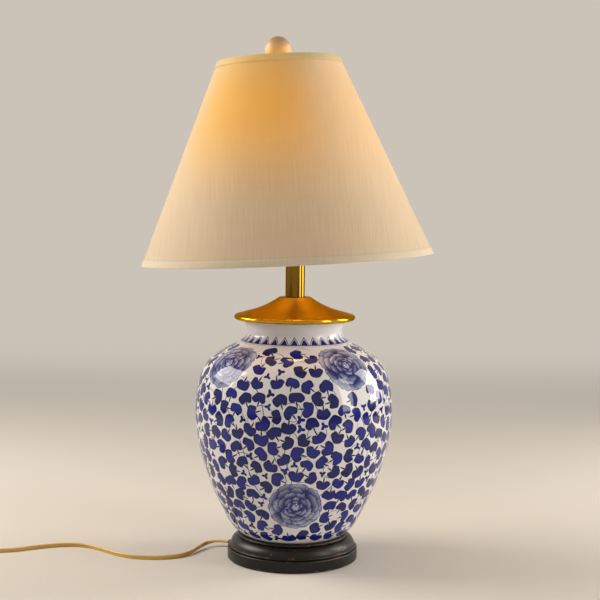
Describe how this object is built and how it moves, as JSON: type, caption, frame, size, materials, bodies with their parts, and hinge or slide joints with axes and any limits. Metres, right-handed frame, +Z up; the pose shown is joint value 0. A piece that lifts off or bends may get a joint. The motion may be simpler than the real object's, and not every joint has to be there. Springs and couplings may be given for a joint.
{
  "type": "ginger jar table lamp",
  "caption": "Table lamp: porcelain ginger jar on a turned wooden base, brass cap and neck, harp with a cone shade and ball finial, mains cord with plug.",
  "frame": {"origin": "centre of the felt pad's underside, where the lamp rests on the table", "axes": "+Z up along the jar's axis, -Y towards the viewer of the picture, the cord leaves at the back left (-X, +Y)"},
  "size_m": [0.7162, 0.4064, 0.7288],
  "materials": {
    "wooden_base": "satin black-brown lacquer with worn edges",
    "felt_pad": "green felt",
    "threaded_rod": "zinc plated thread",
    "base_washer": "zinc plated",
    "base_nut": "zinc plated",
    "porcelain_jar": "white glaze with a cobalt blue pattern",
    "brass_cap": "brushed and lacquered, polished rim",
    "neck_tube": "polished and lacquered",
    "check_rings": "polished",
    "harp_saddle": "brass plated steel",
    "harp_wire": "brass plated steel wire",
    "harp_plate": "brass plated steel",
    "front_harp_sleeve": "polished",
    "rear_harp_sleeve": "polished",
    "shade_cover": "ivory linen on a hard backing",
    "shade_top_trim": "folded linen band",
    "shade_bottom_trim": "folded linen band",
    "top_ring_and_spider": "brass plated steel wire",
    "bottom_ring": "white coated steel wire",
    "finial_insert": "turned",
    "finial_ball": "ivory coloured cast resin",
    "socket_cap": "brass plated shell",
    "set_screw": "zinc plated",
    "socket_shell": "brass plated shell",
    "paper_liner": "pressed paper",
    "socket_block": "black phenolic",
    "terminal_screws": "bright",
    "screw_shell": "pressed sheet",
    "centre_contact": "bright spring strip",
    "switch_knob": "black moulded knob with ribs",
    "bulb_glass": "frosted inside",
    "bulb_screw_base": "rolled thread",
    "bulb_tip": "black glass collar with a solder tip",
    "cord_bushing": "translucent amber plastic",
    "inner_cord": "translucent amber insulation",
    "cord_run": "translucent amber insulation",
    "cord_coil": "translucent amber insulation",
    "plug_body": "moulded amber plastic",
    "plug_blades": "stamped strip"
  },
  "bodies": {
    "root": {"wooden_base": "wooden_base", "felt_pad": "felt_pad", "threaded_rod": "threaded_rod", "base_washer": "base_washer", "base_nut": "base_nut", "porcelain_jar": "porcelain_jar", "brass_cap": "brass_cap", "neck_tube": "neck_tube", "check_rings": "check_rings", "harp_saddle": "harp_saddle", "socket_cap": "socket_cap", "set_screw": "set_screw", "socket_shell": "socket_shell", "paper_liner": "paper_liner", "socket_block": "socket_block", "terminal_screws": "terminal_screws", "screw_shell": "screw_shell", "centre_contact": "centre_contact", "cord_bushing": "cord_bushing", "inner_cord": "inner_cord", "cord_run": "cord_run", "cord_coil": "cord_coil", "plug_body": "plug_body", "plug_blades": "plug_blades"},
    "knob": {"switch_knob": "switch_knob"},
    "bulb_carrier": {"bulb_tip": "bulb_tip"},
    "bulb": {"bulb_glass": "bulb_glass", "bulb_screw_base": "bulb_screw_base"},
    "harp": {"harp_wire": "harp_wire", "harp_plate": "harp_plate"},
    "front_sleeve": {"front_harp_sleeve": "front_harp_sleeve"},
    "rear_sleeve": {"rear_harp_sleeve": "rear_harp_sleeve"},
    "shade": {"shade_cover": "shade_cover", "shade_top_trim": "shade_top_trim", "shade_bottom_trim": "shade_bottom_trim", "top_ring_and_spider": "top_ring_and_spider", "bottom_ring": "bottom_ring"},
    "finial_carrier": {"finial_insert": "finial_insert"},
    "finial": {"finial_ball": "finial_ball"}
  },
  "joints": [
    {"name": "switch_turn", "type": "hinge", "parent": "root", "child": "knob", "pos_m": [0.0246, 0, 0.4585], "axis": [1, 0, 0], "continuous": true},
    {"name": "bulb_rise", "type": "slide", "parent": "root", "child": "bulb_carrier", "axis": [0, 0, 1], "range_m": [0, 0.022]},
    {"name": "bulb_turn", "type": "hinge", "parent": "bulb_carrier", "child": "bulb", "pos_m": [0, 0, 0.5], "axis": [0, 0, 1], "range_deg": [0, 2160]},
    {"name": "harp_lift", "type": "slide", "parent": "root", "child": "harp", "axis": [-0.0976, 0, 0.9952], "range_m": [0, 0.013]},
    {"name": "front_sleeve_slide", "type": "slide", "parent": "harp", "child": "front_sleeve", "axis": [-0.0976, 0, 0.9952], "range_m": [0, 0.013]},
    {"name": "rear_sleeve_slide", "type": "slide", "parent": "harp", "child": "rear_sleeve", "axis": [-0.0976, 0, 0.9952], "range_m": [0, 0.013]},
    {"name": "shade_swivel", "type": "hinge", "parent": "harp", "child": "shade", "pos_m": [-0.02577, 0, 0.68734], "axis": [-0.0558, 0, 0.9984], "continuous": true},
    {"name": "finial_rise", "type": "slide", "parent": "shade", "child": "finial_carrier", "axis": [-0.0558, 0, 0.9984], "range_m": [0, 0.0072]},
    {"name": "finial_turn", "type": "hinge", "parent": "finial_carrier", "child": "finial", "pos_m": [-0.02577, 0, 0.68734], "axis": [-0.0558, 0, 0.9984], "range_deg": [0, 2700]}
  ],
  "couplings": [
    {"joint": "bulb_rise", "follows": "bulb_turn", "m_per_rad": 0.0005775},
    {"joint": "finial_rise", "follows": "finial_turn", "m_per_rad": 0.00014972}
  ]
}
